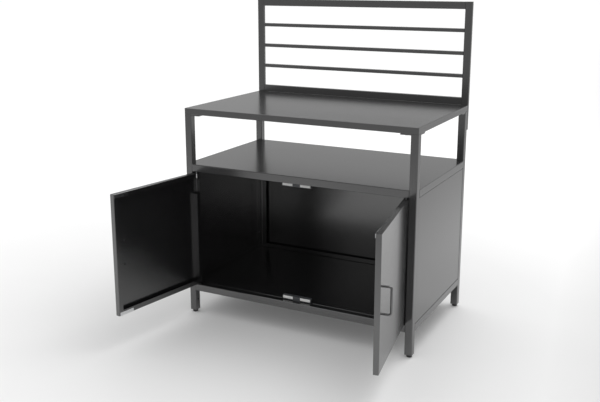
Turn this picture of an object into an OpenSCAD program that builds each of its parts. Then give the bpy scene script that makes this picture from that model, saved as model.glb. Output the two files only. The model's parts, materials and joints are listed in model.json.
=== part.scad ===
// Potting bench with an open bay, a two-door cabinet and a rear trellis.
// Millimetres, +Z up, front towards -Y. The origin is on the floor, at the centre of the four legs.

/* [Bench] */
// Width over the legs
bench_w = 1000; // [800:10:1400]
// Depth over the legs, without the trellis
bench_d = 600; // [500:10:700]
// Height of the worktop's surface
worktop_z = 880; // [840:10:950]
// Depth of the worktop's folded apron
apron = 25; // [20:1:40]
// Height of the shelf's surface
shelf_z = 650; // [600:10:700]
// Height of the cabinet floor's surface
floor_z = 130; // [100:5:160]
// Height of the trellis's top
trellis_z = 1300; // [1200:10:1500]

/* [Frame] */
// Outside size of the square tube
tube = 30; // [30:1:40]
// Wall of every tube
tube_wall = 1.5; // [1:0.25:1.75]
// Outside corner radius of the legs and rails
tube_r = 3; // [2.5:0.5:5]
// Outside corner radius of the trellis tubes
trellis_r = 2; // [2:0.5:3]
// Depth of the trellis tubes
trellis_d = 15; // [15:1:20]
// Height of a thin trellis bar
bar_h = 15; // [10:1:20]

/* [Sheet metal] */
// Thickness of the folded sheet
sheet = 1; // [0.8:0.1:1.2]
// Outside bend radius of the doors
door_bend = 2; // [2:0.5:3]
// Outside bend radius of the other folded parts
bend = 1.5; // [1.5:0.5:2]
// Width of a return lip
lip = 20; // [18:1:24]

/* [Doors] */
// Thickness of a door
door_t = 20; // [20:1:22]
// How far both doors stand open, in degrees
door_open = 99.5; // [0:0.5:105]
// Gap above and below a door
door_gap = 4.5; // [4:0.5:6]
// Gap between the closed doors
door_centre_gap = 13; // [8:1:16]
// Distance between a handle's screws
handle_span = 96; // [64:32:160]
// Radius of the handle's rod
handle_r = 4; // [2.5:0.5:4]
// Distance from the door's face to the middle of the rod
handle_reach = 25; // [20:1:30]

/* [Levelling feet] */
// Height of a leg's end above the floor
foot_h = 11; // [10:1:20]
// Radius of a foot's pad
foot_r = 11; // [10:1:14]

/* [Hidden] */

$fn = 32;
eps = 0.5;               // overshoot of a cutting solid

half_w = bench_w / 2;
half_d = bench_d / 2;
inner_x = half_w - tube; // inner faces of the legs and of the rails
inner_y = half_d - tube;
fit_gap = 0.5;           // gap round a panel between the tubes
run_gap = 0.05;          // radial clearance of a pin in its bush

apron_z = worktop_z - apron;
shelf_rail_z = shelf_z - sheet - tube;
lower_rail_z = floor_z - tube;

// Panels
side_panel_d = 20;
side_panel_x = half_w - 1;         // outer face, 1 mm behind the legs' faces
back_panel_d = 16;
panel_h = shelf_rail_z - floor_z - 2 * fit_gap;
panel_screw_r = 1.9;
panel_screw_zs = [floor_z + 70, shelf_rail_z - 70];

// Trellis
trellis_y = half_d;                // front face, against the rear legs
upright_bottom_z = apron_z - 78;
top_bar_h = 30;
bottom_bar_h = 31;
bottom_bar_z = worktop_z - 0.5;    // leaves no slit above the worktop's rear edge
lowest_space_extra = 4;            // the lowest space is this much higher than the other three
all_spaces = trellis_z - bottom_bar_z - bottom_bar_h - top_bar_h - 3 * bar_h;
bar_space = (all_spaces - lowest_space_extra) / 4;
bolt_r = 3;
bolt_head_r = 5.77;                // over the corners of a 10 mm hexagon
bolt_head_h = 4;
bolt_zs = [upright_bottom_z + 18, apron_z - 20];

// Brackets under the worktop's corners
bracket_t = 5;
bracket_arm = 40;
bracket_w = 28;
bracket_inset = 1;                 // from the apron's outer face
bracket_screw_r = 2.5;

// Doors, described as they are when closed; the left one is drawn and the right one mirrors it
axis_x = inner_x - 13.5;           // distance of a hinge axis from the middle
axis_y = -half_d + door_t / 2;
door_edge = 9.5;                   // from the hinge axis to the door's hinge-side edge
door_w = axis_x + door_edge - door_centre_gap / 2;
door_z = floor_z + door_gap;
door_h = shelf_rail_z - door_z - door_gap;
door_top_z = door_z + door_h;
lip_y = -half_d + door_t;          // plane of the door's return lips
pin_r = 3;
bush_r = 5;
bush_flange_r = 7;
pin_plate_t = 2;
pin_plate_z = door_top_z - 26.5;   // underside of the plate that the top pin stands on
corner_open_h = 88.5;              // height of the corner left open round the pin, for fitting the door
corner_open_w = 25;
handle_x = -axis_x + 395;
handle_z = floor_z + 245;
handle_bend = 8;                   // bend radius at the middle of the handle's rod
handle_screw_r = 2;
strike_x = -axis_x + 380;
strike_w = 67;
strike_h = 14;
strike_t = 1.5;
strike_inset = 0.5;                // from the door's top or bottom edge

// Magnetic catches
catch_y = lip_y + strike_t + 1;    // front faces of the magnets and of the centre block
catch_d = 17;
catch_h = 17.5;
catch_half_w = 62;
catch_block_w = 33;
magnet_w = 44;
magnet_h = 10;
magnet_t = 3.5;
magnet_z = 5;                      // from the rail to a magnet's near edge
catch_screw_x = 9;
catch_screw_y = catch_y + 3.2;     // in front of the rails' inner walls
catch_screw_r = 1.5;
catch_head_r = 2.7;
catch_recess = 3;                  // depth of the recess for a screw's head

// Levelling feet
stud_r = 4;
stud_top_z = foot_h + 24;
plug_h = 28;
drain_r = 3.5;                     // drain hole in the inner side of each leg
drain_z = foot_h + 46;
pad_h = 7;
pad_bevel_w = 1;
pad_bevel_h = 2;

powder_coat = [0.23, 0.24, 0.26];
black_plastic = [0.06, 0.06, 0.07];
zinc = [0.72, 0.73, 0.74];
black_steel = [0.1, 0.1, 0.11];
catch_grey = [0.3, 0.31, 0.33];

// ---- Profiles and placing ----

// Rectangle with round corners, one corner at the origin
module rounded_rect(w, h, r) {
    translate([r, 0]) square([w - 2 * r, h]);
    translate([0, r]) square([w, h - 2 * r]);
    for (x = [r, w - r], y = [r, h - r]) translate([x, y]) circle(r);
}

// Tube along Z, one corner at the origin
module tube_z(w, d, length, r = tube_r) {
    inner_r = r - tube_wall;
    linear_extrude(length) difference() {
        rounded_rect(w, d, r);
        translate([tube_wall, tube_wall]) rounded_rect(w - 2 * tube_wall, d - 2 * tube_wall, inner_r);
    }
}

// Tube along X: d is its size in Y and h its height
module tube_x(length, d, h, r = tube_r) {
    rotate([90, 0, 90]) tube_z(d, h, length, r);
}

// Tube along Y
module tube_y(length, w, h) {
    translate([0, length, 0]) rotate([90, 0, 0]) tube_z(w, h, length);
}

// Block whose eight edges round the X and Y sides are rounded
module bent_block(w, h, d, r) {
    intersection() {
        rotate([90, 0, 90]) linear_extrude(w) rounded_rect(h, d, r);
        translate([0, h, 0]) rotate([90, 0, 0]) linear_extrude(h) rounded_rect(w, d, r);
    }
}

// Folded sheet pan: skin at the top, flanges down, and return lips at the bottom.
// It has no lips if lip_w is only the sheet's thickness.
module pan(w, h, d, r, lip_w) {
    difference() {
        bent_block(w, h, d, r);
        translate([sheet, sheet, sheet]) bent_block(w - 2 * sheet, h - 2 * sheet, d - 2 * sheet, r - sheet);
        translate([lip_w, lip_w, -eps]) cube([w - 2 * lip_w, h - 2 * lip_w, sheet + 2 * eps]);
    }
}

// Draws its children, or their mirror image for the right-hand side
module on_side(side) {
    if (side > 0) mirror([1, 0, 0]) children();
    else children();
}

// Turns a closed left door to where it stands, or mirrors that for the right one
module door_pose(side) {
    on_side(side)
        translate([-axis_x, axis_y, 0]) rotate([0, 0, -door_open]) translate([axis_x, -axis_y, 0]) children();
}

// Places its children at each panel screw, +Z pointing from the flange into the leg
module at_panel_screws() {
    for (side = [-1, 1], z = panel_screw_zs) {
        for (end = [-1, 1]) {
            translate([side * (side_panel_x - side_panel_d / 2), end * (inner_y - fit_gap - sheet), z])
                rotate([-90 * end, 0, 0]) children();
        }
        translate([side * (inner_x - fit_gap - sheet), inner_y + back_panel_d / 2, z])
            rotate([0, 90 * side, 0]) children();
    }
}

// Places its children at each trellis bolt, +Z pointing forwards into the leg
module at_trellis_bolts() {
    for (side = [-1, 1], z = bolt_zs) {
        translate([side * (half_w - tube / 2), trellis_y + trellis_d, z]) rotate([90, 0, 0]) children();
    }
}

// Places its children on both arms of each bracket, at the height of the arm's underside
module at_bracket_screws() {
    along = tube + bracket_arm / 2; // both are distances from the corner of the bench
    across = 12;
    for (sx = [-1, 1], sy = [-1, 1]) {
        translate([sx * (half_w - along), sy * (half_d - across), apron_z - bracket_t]) children();
        translate([sx * (half_w - across), sy * (half_d - along), apron_z - bracket_t]) children();
    }
}

// Places its children at each catch screw, +Z pointing into the rail
module at_catch_screws() {
    for (x = [-catch_screw_x, catch_screw_x]) {
        translate([x, catch_screw_y, shelf_rail_z]) children();
        translate([x, catch_screw_y, floor_z]) mirror([0, 0, 1]) children();
    }
}

// Places its children at both hinge axes
module at_hinges() {
    for (side = [-1, 1]) translate([side * axis_x, axis_y, 0]) children();
}

// Pan-head screw: the head hangs below z = 0 and the shank rises
module pan_head_screw(r, length, head_r, head_h) {
    cylinder(h = length, r = r);
    top_share = 0.8; // radius of the head's top as a share of its base
    translate([0, 0, -head_h]) cylinder(h = head_h, r1 = head_r * top_share, r2 = head_r);
}

// ---- Frame ----

module leg(sx, sy) {
    x = sx < 0 ? -half_w : inner_x;
    y = sy < 0 ? -half_d : inner_y;
    color(powder_coat) difference() {
        translate([x, y, foot_h]) tube_z(tube, tube, apron_z - foot_h);
        at_panel_screws() cylinder(h = 2 * tube_wall + 2, r = panel_screw_r + run_gap);
        at_trellis_bolts() cylinder(h = trellis_d + tube_wall + 1, r = bolt_r + run_gap);
        translate([sx * (inner_x - eps), sy * (half_d - tube / 2), drain_z])
            rotate([0, 90 * sx, 0]) cylinder(h = tube_wall + 2 * eps, r = drain_r);
    }
}

module leg_end_plugs() {
    clear = 0.1;
    body_w = tube - 2 * (tube_wall + clear);
    color(black_plastic) for (sx = [-1, 1], sy = [-1, 1]) {
        translate([sx * (half_w - tube / 2), sy * (half_d - tube / 2), foot_h]) difference() {
            translate([-body_w / 2, -body_w / 2, 0])
                linear_extrude(plug_h) rounded_rect(body_w, body_w, tube_r - tube_wall - clear);
            translate([0, 0, -eps]) cylinder(h = plug_h + 2 * eps, r = stud_r + run_gap);
        }
    }
}

module levelling_foot(sx, sy) {
    color(black_plastic) translate([sx * (half_w - tube / 2), sy * (half_d - tube / 2), 0]) {
        cylinder(h = pad_bevel_h, r1 = foot_r - pad_bevel_w, r2 = foot_r);
        translate([0, 0, pad_bevel_h]) cylinder(h = pad_h - pad_bevel_h, r = foot_r);
        cylinder(h = stud_top_z, r = stud_r);
    }
}

module rail_x(sy, z) {
    y = sy < 0 ? -half_d : inner_y;
    translate([-inner_x, y, z]) tube_x(2 * inner_x, tube, tube);
}

module rail_y(sx, z) {
    x = sx < 0 ? -half_w : inner_x;
    color(powder_coat) translate([x, -inner_y, z]) tube_y(2 * inner_y, tube, tube);
}

module shelf_front_rail() {
    color(powder_coat) difference() {
        rail_x(-1, shelf_rail_z);
        at_hinges() translate([0, 0, shelf_rail_z - eps]) cylinder(h = 4, r = bush_r + run_gap);
        at_catch_screws() translate([0, 0, -eps]) cylinder(h = 3, r = catch_screw_r + run_gap);
    }
}

module lower_front_rail() {
    color(powder_coat) difference() {
        rail_x(-1, lower_rail_z);
        at_hinges() translate([0, 0, floor_z - 3]) cylinder(h = 4, r = pin_r + run_gap);
        at_catch_screws() translate([0, 0, -eps]) cylinder(h = 3, r = catch_screw_r + run_gap);
    }
}

// ---- Worktop ----

module worktop() {
    color(powder_coat) difference() {
        intersection() {
            translate([-half_w, -half_d, apron_z]) pan(bench_w, bench_d, apron, bend, lip);
            translate([-half_w, -half_d, apron_z])
                linear_extrude(apron) rounded_rect(bench_w, bench_d, tube_r);
        }
        at_bracket_screws() cylinder(h = bracket_t + 3, r = bracket_screw_r + run_gap);
    }
}

// Channel with its open side down, under a panel whose underside is at top_z
module stiffener(top_z, height, length) {
    width = 60;
    color(powder_coat) difference() {
        translate([-length / 2, -width / 2, top_z - height]) cube([length, width, height]);
        translate([-length / 2 - eps, -width / 2 + sheet, top_z - height - eps])
            cube([length + 2 * eps, width - 2 * sheet, height - sheet + eps]);
    }
}

// L-shaped plates round the tops of the legs
module corner_brackets() {
    near = bracket_inset;
    wide = bracket_inset + bracket_w;
    far = tube + bracket_arm;
    outline = [[tube, near], [far, near], [far, wide], [wide, far], [near, far], [near, tube], [tube, tube]];
    color(powder_coat) difference() {
        for (sx = [-1, 1], sy = [-1, 1]) {
            translate([sx * half_w, sy * half_d, apron_z - bracket_t]) scale([-sx, -sy, 1])
                linear_extrude(bracket_t) polygon(outline);
        }
        at_bracket_screws() translate([0, 0, -eps])
            cylinder(h = bracket_t + 2 * eps, r = bracket_screw_r + run_gap);
    }
}

module bracket_screws() {
    color(zinc) at_bracket_screws()
        pan_head_screw(r = bracket_screw_r, length = 10, head_r = 5, head_h = 2.6);
}

// ---- Shelf and cabinet ----

module shelf_panel() {
    notch = tube + 0.2;
    color(powder_coat) translate([0, 0, shelf_z - sheet]) linear_extrude(sheet) difference() {
        square([bench_w, bench_d], center = true);
        for (sx = [-1, 1], sy = [-1, 1]) {
            translate([sx * half_w, sy * half_d]) square(2 * notch, center = true);
        }
    }
}

module cabinet_floor() {
    w = 2 * (inner_x - fit_gap);
    d = 2 * (inner_y - fit_gap);
    color(powder_coat) translate([-w / 2, -d / 2, floor_z - apron]) pan(w, d, apron, bend, lip);
}

module side_panel(side) {
    w = 2 * (inner_y - fit_gap);
    color(powder_coat) difference() {
        on_side(-side) translate([side_panel_x - side_panel_d, -w / 2, floor_z + fit_gap])
            rotate([90, 0, 90]) pan(w, panel_h, side_panel_d, bend, sheet);
        at_panel_screws() translate([0, 0, -eps]) cylinder(h = 3, r = panel_screw_r + run_gap);
    }
}

module back_panel() {
    w = 2 * (inner_x - fit_gap);
    color(powder_coat) difference() {
        translate([w / 2, inner_y, floor_z + fit_gap])
            rotate([90, 0, 180]) pan(w, panel_h, back_panel_d, bend, lip);
        at_panel_screws() translate([0, 0, -eps]) cylinder(h = 3, r = panel_screw_r + run_gap);
    }
}

module panel_screws() {
    color(zinc) at_panel_screws() pan_head_screw(r = panel_screw_r, length = 8, head_r = 3.6, head_h = 2);
}

// ---- Trellis ----

module trellis_upright(sx) {
    x = sx < 0 ? -half_w : inner_x;
    color(powder_coat) difference() {
        translate([x, trellis_y, upright_bottom_z])
            tube_z(tube, trellis_d, trellis_z - upright_bottom_z, trellis_r);
        at_trellis_bolts() translate([0, 0, -eps]) cylinder(h = trellis_d + 2 * eps, r = bolt_r + run_gap);
    }
}

module trellis_bar(z, height) {
    color(powder_coat) translate([-inner_x, trellis_y, z]) tube_x(2 * inner_x, trellis_d, height, trellis_r);
}

// Height of the underside of thin bar number i, counted from the lowest
function bar_z(i) = bottom_bar_z + bottom_bar_h + lowest_space_extra + bar_space + i * (bar_h + bar_space);

module trellis_end_plugs() {
    clear = 0.1;
    w = tube - 2 * (tube_wall + clear);
    d = trellis_d - 2 * (tube_wall + clear);
    depth = 10;
    color(black_plastic) for (sx = [-1, 1], z = [upright_bottom_z, trellis_z - depth]) {
        translate([sx * (half_w - tube / 2) - w / 2, trellis_y + (trellis_d - d) / 2, z])
            linear_extrude(depth) rounded_rect(w, d, trellis_r - tube_wall - clear);
    }
}

module trellis_bolts() {
    length = trellis_d + 10;
    color(zinc) at_trellis_bolts() {
        cylinder(h = length, r = bolt_r);
        translate([0, 0, -bolt_head_h]) cylinder(h = bolt_head_h, r = bolt_head_r, $fn = 6);
    }
}

// ---- Catches ----

// Housing of a double catch whose back is at z = 0 and whose body rises from it
module catch_housing() {
    color(catch_grey) difference() {
        union() {
            translate([-catch_block_w / 2, catch_y, 0]) cube([catch_block_w, catch_d, catch_h]);
            translate([-catch_half_w, catch_y + magnet_t, 0])
                cube([2 * catch_half_w, catch_d - magnet_t, catch_h]);
        }
        for (x = [-catch_screw_x, catch_screw_x]) translate([x, catch_screw_y, 0]) {
            translate([0, 0, -eps]) cylinder(h = catch_h + 2 * eps, r = catch_screw_r + run_gap);
            translate([0, 0, catch_h - catch_recess])
                cylinder(h = catch_recess + eps, r = catch_head_r + 0.2);
        }
    }
}

module catch_magnets() {
    color(zinc) for (side = [-1, 1]) {
        x = side < 0 ? -catch_block_w / 2 - magnet_w : catch_block_w / 2;
        translate([x, catch_y, magnet_z]) cube([magnet_w, magnet_t, magnet_h]);
    }
}

// Puts a catch under the shelf rail or on the lower rail
module on_upper_rail() {
    translate([0, 0, shelf_rail_z]) mirror([0, 0, 1]) children();
}

module on_lower_rail() {
    translate([0, 0, floor_z]) children();
}

module catch_screws() {
    color(zinc) at_catch_screws() translate([0, 0, catch_recess - catch_h])
        pan_head_screw(r = catch_screw_r, length = 20, head_r = catch_head_r, head_h = 1.8);
}

// ---- Hinges ----

module hinge_rail_bushes() {
    flange_t = 1.5;
    color(black_plastic) at_hinges() difference() {
        union() {
            translate([0, 0, shelf_rail_z - flange_t]) cylinder(h = flange_t, r = bush_flange_r);
            translate([0, 0, shelf_rail_z - flange_t]) cylinder(h = 14, r = bush_r);
        }
        translate([0, 0, shelf_rail_z - flange_t - eps]) cylinder(h = 15, r = pin_r + run_gap);
    }
}

module hinge_bottom_pins() {
    color(zinc) at_hinges() translate([0, 0, floor_z - 12]) cylinder(h = 30, r = pin_r);
}

module hinge_thrust_washers() {
    color(black_plastic) at_hinges() difference() {
        translate([0, 0, floor_z]) cylinder(h = 2, r = bush_flange_r);
        translate([0, 0, floor_z - eps]) cylinder(h = 3, r = pin_r + run_gap);
    }
}

// ---- Doors ----

module door_panel(side) {
    edge_x = -axis_x - door_edge;
    open_z = door_top_z - corner_open_h;
    color(powder_coat) door_pose(side) difference() {
        union() {
            translate([edge_x, lip_y, door_z]) rotate([90, 0, 0]) pan(door_w, door_h, door_t, door_bend, lip);
            // The hinge-side lip turns back to the skin, which makes a box edge
            translate([edge_x + lip - sheet, -half_d + sheet, door_z + sheet])
                cube([sheet, door_t - 2 * sheet, open_z - door_z - sheet]);
        }
        translate([edge_x - eps, lip_y - sheet - door_bend, open_z])
            cube([corner_open_w + eps, door_bend + sheet + eps, corner_open_h - door_bend]);
        translate([-axis_x, axis_y, door_top_z - 3]) cylinder(h = 4, r = pin_r + 0.5);
        translate([-axis_x, axis_y, door_z - eps]) cylinder(h = 3, r = bush_r + run_gap);
        for (end = [-1, 1]) translate([handle_x, -half_d - eps, handle_z + end * handle_span / 2])
            rotate([-90, 0, 0]) cylinder(h = 3, r = handle_screw_r + run_gap);
    }
}

// Small plate across the channel, welded to the skin and to the hinge-side flange
module pin_plate(side) {
    clear = 0.1;
    reach = door_t - sheet - clear;
    color(powder_coat) door_pose(side) difference() {
        translate([-axis_x - door_edge + sheet + clear, -half_d + sheet + clear, pin_plate_z])
            linear_extrude(pin_plate_t)
            polygon([[door_bend, 0], [reach, 0], [reach, reach - 2], [0, reach - 2], [0, door_bend]]);
        translate([-axis_x, axis_y, pin_plate_z - eps])
            cylinder(h = pin_plate_t + 2 * eps, r = pin_r + run_gap);
    }
}

module top_pin(side) {
    in_rail = 9;
    color(zinc) door_pose(side) translate([-axis_x, axis_y, pin_plate_z])
        cylinder(h = shelf_rail_z + in_rail - pin_plate_z, r = pin_r);
}

module bottom_bush(side) {
    flange_z = floor_z + 2.1;
    color(black_plastic) door_pose(side) translate([-axis_x, axis_y, 0]) difference() {
        union() {
            translate([0, 0, flange_z]) cylinder(h = door_z - flange_z, r = bush_flange_r);
            translate([0, 0, flange_z]) cylinder(h = 18, r = bush_r);
        }
        translate([0, 0, flange_z - eps]) cylinder(h = 19, r = pin_r + run_gap);
    }
}

// Round rod bent into a C: two legs out of the door's face, two quarter bends and the grip
module handle(side) {
    straight = handle_reach - handle_bend;
    color(powder_coat) door_pose(side) translate([handle_x, -half_d, handle_z]) difference() {
        union() {
            for (end = [-1, 1]) scale([1, 1, end]) {
                translate([0, 0, handle_span / 2]) rotate([90, 0, 0]) cylinder(h = straight, r = handle_r);
                translate([0, -straight, handle_span / 2 - handle_bend]) rotate([0, -90, 0])
                    rotate_extrude(angle = -90) translate([handle_bend, 0]) circle(handle_r);
            }
            translate([0, -handle_reach, -handle_span / 2 + handle_bend])
                cylinder(h = handle_span - 2 * handle_bend, r = handle_r);
        }
        for (end = [-1, 1]) translate([0, eps, end * handle_span / 2])
            rotate([90, 0, 0]) cylinder(h = 10, r = handle_screw_r + run_gap);
    }
}

module handle_screws(side) {
    color(black_steel) door_pose(side) for (end = [-1, 1]) {
        translate([handle_x, -half_d + sheet, handle_z + end * handle_span / 2])
            rotate([90, 0, 0]) pan_head_screw(r = handle_screw_r, length = 9, head_r = 3.8, head_h = 2.4);
    }
}

module strike_plates(side) {
    color(zinc) door_pose(side) for (z = [door_z + strike_inset, door_top_z - strike_inset - strike_h]) {
        translate([strike_x, lip_y, z]) cube([strike_w, strike_t, strike_h]);
    }
}

leg(-1, -1);  // front_left_leg
leg(1, -1);  // front_right_leg
leg(-1, 1);  // rear_left_leg
leg(1, 1);  // rear_right_leg
leg_end_plugs();
levelling_foot(-1, -1);  // front_left_foot
levelling_foot(1, -1);  // front_right_foot
levelling_foot(-1, 1);  // rear_left_foot
levelling_foot(1, 1);  // rear_right_foot
shelf_front_rail();
color(powder_coat) rail_x(1, shelf_rail_z);  // shelf_back_rail
rail_y(-1, shelf_rail_z);  // shelf_left_rail
rail_y(1, shelf_rail_z);  // shelf_right_rail
lower_front_rail();
color(powder_coat) rail_x(1, lower_rail_z);  // lower_back_rail
rail_y(-1, lower_rail_z);  // lower_left_rail
rail_y(1, lower_rail_z);  // lower_right_rail
worktop();
stiffener(worktop_z - sheet, 20, 2 * inner_x);  // worktop_stiffener
corner_brackets();
bracket_screws();
shelf_panel();
stiffener(shelf_z - sheet, 25, 2 * inner_x);  // shelf_stiffener
cabinet_floor();
side_panel(-1);  // left_side_panel
side_panel(1);  // right_side_panel
back_panel();
panel_screws();
trellis_upright(-1);  // trellis_left_upright
trellis_upright(1);  // trellis_right_upright
trellis_bar(trellis_z - top_bar_h, top_bar_h);  // trellis_top_bar
trellis_bar(bottom_bar_z, bottom_bar_h);  // trellis_bottom_bar
trellis_bar(bar_z(0), bar_h);  // trellis_lower_bar
trellis_bar(bar_z(1), bar_h);  // trellis_middle_bar
trellis_bar(bar_z(2), bar_h);  // trellis_upper_bar
trellis_end_plugs();
trellis_bolts();
on_upper_rail() catch_housing();  // upper_catch_housing
on_lower_rail() catch_housing();  // lower_catch_housing
on_upper_rail() catch_magnets();  // upper_catch_magnets
on_lower_rail() catch_magnets();  // lower_catch_magnets
catch_screws();
hinge_rail_bushes();
hinge_bottom_pins();
hinge_thrust_washers();
door_panel(-1);  // left_door_panel
pin_plate(-1);  // left_pin_plate
top_pin(-1);  // left_top_pin
bottom_bush(-1);  // left_bottom_bush
handle(-1);  // left_handle
handle_screws(-1);  // left_handle_screws
strike_plates(-1);  // left_strike_plates
door_panel(1);  // right_door_panel
pin_plate(1);  // right_pin_plate
top_pin(1);  // right_top_pin
bottom_bush(1);  // right_bottom_bush
handle(1);  // right_handle
handle_screws(1);  // right_handle_screws
strike_plates(1);  // right_strike_plates
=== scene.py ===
"""Potting bench: materials, floor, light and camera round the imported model. Metres, +Z up, front to -Y."""

import json
import math

import bpy
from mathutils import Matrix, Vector

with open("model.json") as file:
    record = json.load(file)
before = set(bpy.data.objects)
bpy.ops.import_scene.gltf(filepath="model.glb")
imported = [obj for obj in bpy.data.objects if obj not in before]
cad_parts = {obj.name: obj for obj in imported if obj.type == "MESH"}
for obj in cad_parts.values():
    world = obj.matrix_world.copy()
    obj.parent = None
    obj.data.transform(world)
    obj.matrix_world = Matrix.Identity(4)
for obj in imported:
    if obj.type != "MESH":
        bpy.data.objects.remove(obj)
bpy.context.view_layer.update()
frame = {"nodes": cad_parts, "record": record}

# ---- Node helpers ----


class Shader:
    """A material whose nodes are added by short calls."""

    def __init__(self, name):
        self.material = bpy.data.materials.new(name)
        self.material.use_nodes = True
        self.tree = self.material.node_tree
        self.bsdf = self.tree.nodes["Principled BSDF"]
        self.coords = self.tree.nodes.new("ShaderNodeTexCoord").outputs["Object"]

    def node(self, kind, **settings):
        """Adds a node and sets its properties."""
        made = self.tree.nodes.new(kind)
        for key, value in settings.items():
            setattr(made, key, value)
        return made

    def link(self, output, target):
        self.tree.links.new(output, target)

    def stretched(self, scale):
        """Object coordinates, scaled along each axis."""
        mapping = self.node("ShaderNodeMapping")
        mapping.inputs["Scale"].default_value = scale
        self.link(self.coords, mapping.inputs["Vector"])
        return mapping.outputs["Vector"]

    def noise(self, scale, detail=2.0, rough=0.5, coords=None):
        """Noise with features about 1/scale metres across."""
        made = self.node("ShaderNodeTexNoise")
        made.inputs["Scale"].default_value = scale
        made.inputs["Detail"].default_value = detail
        made.inputs["Roughness"].default_value = rough
        self.link(coords or self.coords, made.inputs["Vector"])
        return made.outputs["Fac"]

    def remap(self, value, low, high, to_low, to_high):
        """Maps low..high of a value to to_low..to_high, clamped."""
        made = self.node("ShaderNodeMapRange")
        ends = {"From Min": low, "From Max": high, "To Min": to_low, "To Max": to_high}
        for key, number in ends.items():
            made.inputs[key].default_value = number
        self.link(value, made.inputs["Value"])
        return made.outputs["Result"]

    def math(self, operation, a, b):
        """A math node on two values, each an output or a number."""
        made = self.node("ShaderNodeMath", operation=operation)
        for slot, value in zip(made.inputs, (a, b)):
            if isinstance(value, (int, float)):
                slot.default_value = value
            else:
                self.link(value, slot)
        return made.outputs["Value"]

    def blend(self, factor, first, second):
        """Mixes two colours by a factor."""
        made = self.node("ShaderNodeMix", data_type="RGBA")
        made.inputs["A"].default_value = (*first, 1)
        made.inputs["B"].default_value = (*second, 1)
        self.link(factor, made.inputs["Factor"])
        return made.outputs["Result"]

    def colour(self, output):
        self.link(output, self.bsdf.inputs["Base Color"])

    def roughness(self, output):
        self.link(output, self.bsdf.inputs["Roughness"])

    def bump(self, height, distance, strength=1.0, after=None):
        """Adds a bump of that height in metres, on top of an earlier one."""
        made = self.node("ShaderNodeBump")
        made.inputs["Strength"].default_value = strength
        made.inputs["Distance"].default_value = distance
        self.link(height, made.inputs["Height"])
        if after:
            self.link(after, made.inputs["Normal"])
        self.link(made.outputs["Normal"], self.bsdf.inputs["Normal"])
        return made.outputs["Normal"]


# ---- Materials ----


def powder_coat():
    """Dark satin powder coat: a fine orange peel and a faint clouding."""
    s = Shader("powder_coat")
    s.bsdf.inputs["IOR"].default_value = 2.2
    clouds = s.noise(9, 4, 0.6)
    grains = s.noise(1400, 1, 0.5)
    darker, lighter = (0.009, 0.009, 0.0095), (0.011, 0.011, 0.0115)
    s.colour(s.blend(s.remap(clouds, 0.35, 0.65, 0, 1), darker, lighter))
    satin = s.remap(clouds, 0.3, 0.7, 0.215, 0.225)
    s.roughness(s.math("ADD", satin, s.remap(grains, 0.3, 0.7, -0.01, 0.01)))
    peel = s.bump(s.noise(450, 2, 0.5), 0.00001, 0.5)
    s.bump(grains, 0.000004, 0.4, after=peel)
    return s.material


def zinc_plate():
    """Bright zinc: faint brushing and grey blotches."""
    s = Shader("zinc_plate")
    s.bsdf.inputs["Metallic"].default_value = 1.0
    brushing = s.noise(60, 3, 0.6, s.stretched((1, 1, 30)))
    blotches = s.noise(90, 3, 0.6)
    s.colour(s.blend(s.remap(blotches, 0.35, 0.65, 0, 1), (0.78, 0.79, 0.8), (0.9, 0.9, 0.91)))
    s.roughness(s.remap(brushing, 0.3, 0.7, 0.16, 0.28))
    s.bump(brushing, 0.00002, 0.5)
    return s.material


def moulded_plastic(name, dark, light, roughness):
    """Moulded plastic with a fine spark-eroded grain."""
    s = Shader(name)
    s.colour(s.blend(s.remap(s.noise(25, 3, 0.6), 0.35, 0.65, 0, 1), dark, light))
    s.roughness(s.remap(s.noise(300, 2, 0.5), 0.3, 0.7, roughness - 0.05, roughness + 0.05))
    s.bump(s.noise(1500, 2, 0.6), 0.00004, 0.5)
    return s.material


MATERIALS = {
    "powder_coat": powder_coat(),
    "zinc_plate": zinc_plate(),
    "black_steel": moulded_plastic("black_steel", (0.012, 0.012, 0.013), (0.02, 0.02, 0.021), 0.3),
    "pale_plate": moulded_plastic("pale_plate", (0.8, 0.8, 0.79), (0.86, 0.86, 0.85), 0.3),
    "catch_plastic": moulded_plastic("catch_plastic", (0.055, 0.057, 0.062), (0.075, 0.077, 0.082), 0.4),
    "black_plastic": moulded_plastic("black_plastic", (0.008, 0.008, 0.009), (0.014, 0.014, 0.015), 0.5),
}


# Nodes that don't look like the rest of their slot
OTHER_FINISH = {
    "upper_catch_magnets": "pale_plate",
    "lower_catch_magnets": "pale_plate",
    "panel_screws": "black_steel",
}


def dress_nodes():
    """Gives each CAD node the material of its slot, or the one in OTHER_FINISH."""
    for part in frame["record"]["subparts"]:
        name = part["node"]
        finish = OTHER_FINISH.get(name, part["material_slot"])
        for slot in frame["nodes"][name].material_slots:
            slot.material = MATERIALS[finish]


# ---- Stage, light and camera ----

FLOOR_SIZE = 240

# Painted shade: towards the front the floor's colour is darkened to the factor set below, between these two
# values of Y
FRONT_PALE = -1.4
FRONT_DIM = -3.2
PAINTED_SHADE_FRONT = 0.45

# Painted shade: to the right the floor's colour is darkened to the factor set below, between these two
# values of X + SIDE_SLANT * Y
SIDE_PALE = 0.95
SIDE_DIM = 1.6
SIDE_SLANT = 0.133
PAINTED_SHADE_SIDE = 0.6

# Painted light: the floor's own glow, lifting its shade near the bench and whitening it far off, up to
# NEAR_RADIUS from the bench and from FAR_RADIUS on
NEAR_PAINTED_GLOW = 0.08
FAR_PAINTED_GLOW = 0.35
NEAR_RADIUS = 1.0
FAR_RADIUS = 3.0

# Brightness of the room in front of the bench, behind it by the horizon, and overhead
FRONT_LEVEL = 0.4
BACK_LEVEL = 0.6
OVERHEAD_LEVEL = 1.2
TOP_POWER = 80


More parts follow.
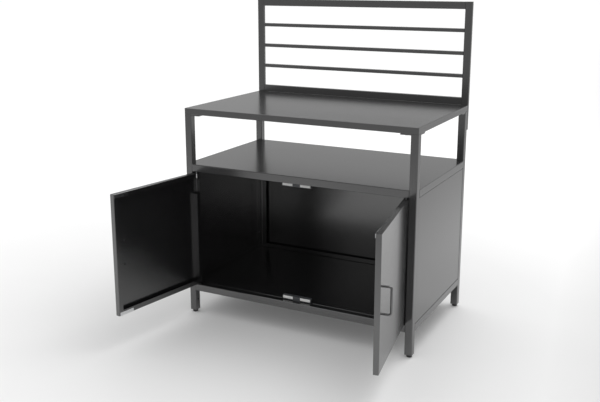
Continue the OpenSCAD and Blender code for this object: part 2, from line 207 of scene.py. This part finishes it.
def pale_floor():
    """A large matt white floor. It has a painted glow that is stronger far away, and painted shade that
    darkens it in front and to the right.
    """
    bpy.ops.mesh.primitive_plane_add(size=FLOOR_SIZE)
    floor = bpy.context.object
    floor.name = "studio_floor"
    s = Shader("studio_floor")
    place = s.node("ShaderNodeSeparateXYZ")
    s.link(s.coords, place.inputs["Vector"])
    paper = s.remap(s.noise(3, 2, 0.5), 0, 1, 0.70, 0.72)
    front_painted_shade = s.remap(place.outputs["Y"], FRONT_DIM, FRONT_PALE, PAINTED_SHADE_FRONT, 1)
    across = s.math("ADD", place.outputs["X"], s.math("MULTIPLY", place.outputs["Y"], SIDE_SLANT))
    side_painted_shade = s.remap(across, SIDE_PALE, SIDE_DIM, 1, PAINTED_SHADE_SIDE)
    # Painted shade: the floor's colour is darkened in front and to the right, the lower of the two factors
    painted_shade = s.math("MINIMUM", front_painted_shade, side_painted_shade)
    s.colour(s.math("MULTIPLY", paper, painted_shade))
    s.roughness(s.remap(s.noise(40, 2, 0.5), 0.3, 0.7, 0.7, 0.8))
    s.bsdf.inputs["Specular IOR Level"].default_value = 0.2
    s.bsdf.inputs["Emission Color"].default_value = (1, 1, 1, 1)
    distance = s.node("ShaderNodeVectorMath", operation="LENGTH")
    s.link(s.coords, distance.inputs[0])
    # Painted light: the floor emits light, more far from the bench, scaled by the painted shade
    painted_glow = s.remap(distance.outputs["Value"], NEAR_RADIUS, FAR_RADIUS, NEAR_PAINTED_GLOW, FAR_PAINTED_GLOW)
    s.link(s.math("MULTIPLY", painted_glow, painted_shade), s.bsdf.inputs["Emission Strength"])
    floor.data.materials.append(s.material)


def area_light(name, place, target, size, power):
    """A square soft box at a place, facing a target."""
    data = bpy.data.lights.new(name, "AREA")
    data.size = size
    data.energy = power
    lamp = bpy.data.objects.new(name, data)
    bpy.context.scene.collection.objects.link(lamp)
    lamp.location = place
    lamp.rotation_euler = (Vector(target) - Vector(place)).to_track_quat("-Z", "Y").to_euler()


def studio_light():
    """A white surround, whose level depends on the direction, and one large soft box above and behind."""
    world = bpy.data.worlds.new("surround")
    bpy.context.scene.world = world
    world.use_nodes = True
    nodes, links = world.node_tree.nodes, world.node_tree.links
    background = nodes["Background"]
    background.inputs["Color"].default_value = (1, 1, 1, 1)
    direction = nodes.new("ShaderNodeSeparateXYZ")
    links.new(nodes.new("ShaderNodeTexCoord").outputs["Generated"], direction.inputs["Vector"])
    ramps = []
    for axis, low, high, last in (("Y", -0.9, 0.2, BACK_LEVEL), ("Z", 0.3, 0.9, OVERHEAD_LEVEL)):
        ramp = nodes.new("ShaderNodeMapRange")
        ramp.inputs["From Min"].default_value = low
        ramp.inputs["From Max"].default_value = high
        ramp.inputs["To Max"].default_value = last
        links.new(direction.outputs[axis], ramp.inputs["Value"])
        ramps.append(ramp)
    front_to_back, low_to_high = ramps
    front_to_back.inputs["To Min"].default_value = FRONT_LEVEL
    links.new(front_to_back.outputs["Result"], low_to_high.inputs["To Min"])
    links.new(low_to_high.outputs["Result"], background.inputs["Strength"])
    area_light("top_box", (1.0, 1.5, 4.5), (0, 0, 0.6), 3.0, TOP_POWER)


def camera():
    """A 50 mm lens at eye height, to the right of the front, looking slightly down."""
    data = bpy.data.cameras.new("camera")
    data.lens = 50
    data.sensor_width = 36
    data.shift_y = -0.0449
    eye = bpy.data.objects.new("camera", data)
    bpy.context.scene.collection.objects.link(eye)
    eye.location = (1.4595, -3.0564, 1.3943)
    eye.rotation_euler = (math.radians(90 - 13.264), 0, math.radians(27.439))
    bpy.context.scene.camera = eye


bpy.context.scene.view_settings.view_transform = "Standard"
dress_nodes()
pale_floor()
studio_light()
camera()
